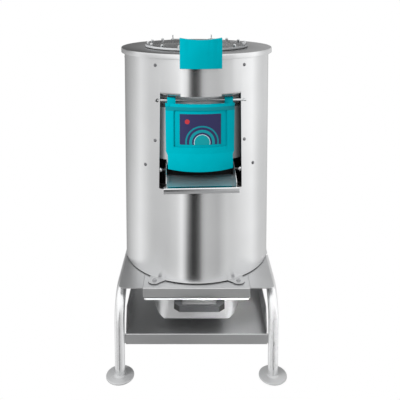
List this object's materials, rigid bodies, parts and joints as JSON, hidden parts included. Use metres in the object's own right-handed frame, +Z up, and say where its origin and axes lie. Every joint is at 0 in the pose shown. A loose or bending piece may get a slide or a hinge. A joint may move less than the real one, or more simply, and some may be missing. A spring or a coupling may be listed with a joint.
{
  "type": "electric potato peeler",
  "caption": "Stainless drum peeler on a tubular stand, with a hinged discharge door, sloping chute, clear hinged lid with hand grip, abrasive disc drive and sliding filter pan.",
  "frame": {"origin": "on the floor, at the middle of the rectangle of the four feet, under the drum's axis", "axes": "+Z up along the drum's axis, -Y towards the front (discharge door and pan handle), +X to the right seen from the front"},
  "size_m": [0.453, 0.52, 0.85],
  "materials": {
    "polished_steel": "polished stainless steel",
    "steel_sheet": "satin stainless sheet",
    "drum_steel": "bright-rolled stainless sheet with soft vertical reflections",
    "teal_plastic": "glossy moulded teal plastic",
    "label_navy": "dark navy film, bare",
    "clear_lid": "clear polycarbonate, lightly smoked",
    "zinc_hardware": "bright nuts, screws and pins",
    "black_rubber": "matt black rubber",
    "grey_plastic": "dark grey moulded plastic",
    "abrasive": "coarse silicon-carbide coating",
    "machined_iron": "painted cast iron with machined faces",
    "motor_paint": "blue-grey enamel",
    "green_button": "glossy green plastic",
    "red_button": "glossy red plastic"
  },
  "bodies": {
    "stand": {"side_frame_left": "polished_steel", "side_frame_right": "polished_steel", "foot_front_left": "steel_sheet", "foot_front_right": "steel_sheet", "foot_rear_left": "steel_sheet", "foot_rear_right": "steel_sheet", "stand_top_plate": "steel_sheet", "lower_shelf": "steel_sheet", "pan_carrier": "steel_sheet", "pan_rail_left": "steel_sheet", "pan_rail_right": "steel_sheet", "base_bolts": "zinc_hardware", "base_ring": "steel_sheet", "outer_shell": "drum_steel", "top_rim": "drum_steel", "abrasive_liner": "abrasive", "chamber_floor": "steel_sheet", "door_frame": "steel_sheet", "discharge_chute": "drum_steel", "chute_bolts": "zinc_hardware", "shell_screws": "zinc_hardware", "door_hinge_rod": "polished_steel", "rod_clip": "black_rubber", "hinge_spacers": "polished_steel", "lid_hinge_bracket": "steel_sheet", "lid_hinge_pin": "zinc_hardware", "bearing_housing": "machined_iron", "shaft_bearings": "polished_steel", "shaft_seal": "black_rubber", "motor": "motor_paint", "motor_plate": "machined_iron", "drive_belt": "black_rubber", "drain_pipe": "steel_sheet", "water_inlet": "zinc_hardware", "control_box": "steel_sheet", "control_cover": "steel_sheet", "cable_gland": "grey_plastic"},
    "door": {"door_panel": "teal_plastic", "door_label": "label_navy", "door_gasket": "black_rubber"},
    "lid": {"lid_disc": "clear_lid", "lid_gasket": "black_rubber", "lid_nuts": "zinc_hardware", "lid_grip": "teal_plastic", "grip_bracket": "steel_sheet", "lid_hinge_leaf": "steel_sheet"},
    "disc_drive": {"abrasive_disc": "abrasive", "disc_hub": "machined_iron", "disc_cap_nut": "zinc_hardware", "drive_shaft": "polished_steel", "large_pulley": "machined_iron"},
    "motor_rotor": {"motor_shaft": "polished_steel", "motor_pulley": "machined_iron"},
    "pan_drawer": {"filter_pan": "polished_steel", "strainer_basket": "steel_sheet", "pan_handle": "grey_plastic", "handle_screws": "zinc_hardware"},
    "start_body": {"start_button": "green_button"},
    "stop_body": {"stop_button": "red_button"},
    "timer_body": {"timer_knob": "grey_plastic"}
  },
  "joints": [
    {"name": "door_hinge", "type": "hinge", "parent": "stand", "child": "door", "pos_m": [0.00885, -0.16877, 0.69], "axis": [-0.9986, -0.0523, 0], "range_deg": [0, 60]},
    {"name": "lid_hinge", "type": "hinge", "parent": "stand", "child": "lid", "pos_m": [-0.00785, 0.14979, 0.813], "axis": [-0.9986, -0.0523, 0], "range_deg": [0, 100]},
    {"name": "disc_spin", "type": "hinge", "parent": "stand", "child": "disc_drive", "pos_m": [0, 0, 0.456], "axis": [0, 0, 1], "continuous": true},
    {"name": "motor_spin", "type": "hinge", "parent": "stand", "child": "motor_rotor", "pos_m": [-0.00628, 0.11984, 0.314], "axis": [0, 0, 1], "continuous": true},
    {"name": "pan_slide", "type": "slide", "parent": "stand", "child": "pan_drawer", "axis": [0, -1, 0], "range_m": [0, 0.26]},
    {"name": "start_press", "type": "slide", "parent": "stand", "child": "start_body", "axis": [0.0523, -0.9986, 0], "range_m": [0, 0.004], "stiffness_N_per_m": 500, "springref_m": -0.002},
    {"name": "stop_press", "type": "slide", "parent": "stand", "child": "stop_body", "axis": [0.0523, -0.9986, 0], "range_m": [0, 0.004], "stiffness_N_per_m": 500, "springref_m": -0.002},
    {"name": "timer_turn", "type": "hinge", "parent": "stand", "child": "timer_body", "pos_m": [-0.01308, 0.24966, 0.59], "axis": [0.0523, -0.9986, 0], "range_deg": [0, 300]}
  ],
  "couplings": [
    {"joint": "motor_spin", "follows": "disc_spin", "ratio": 3.5778}
  ]
}
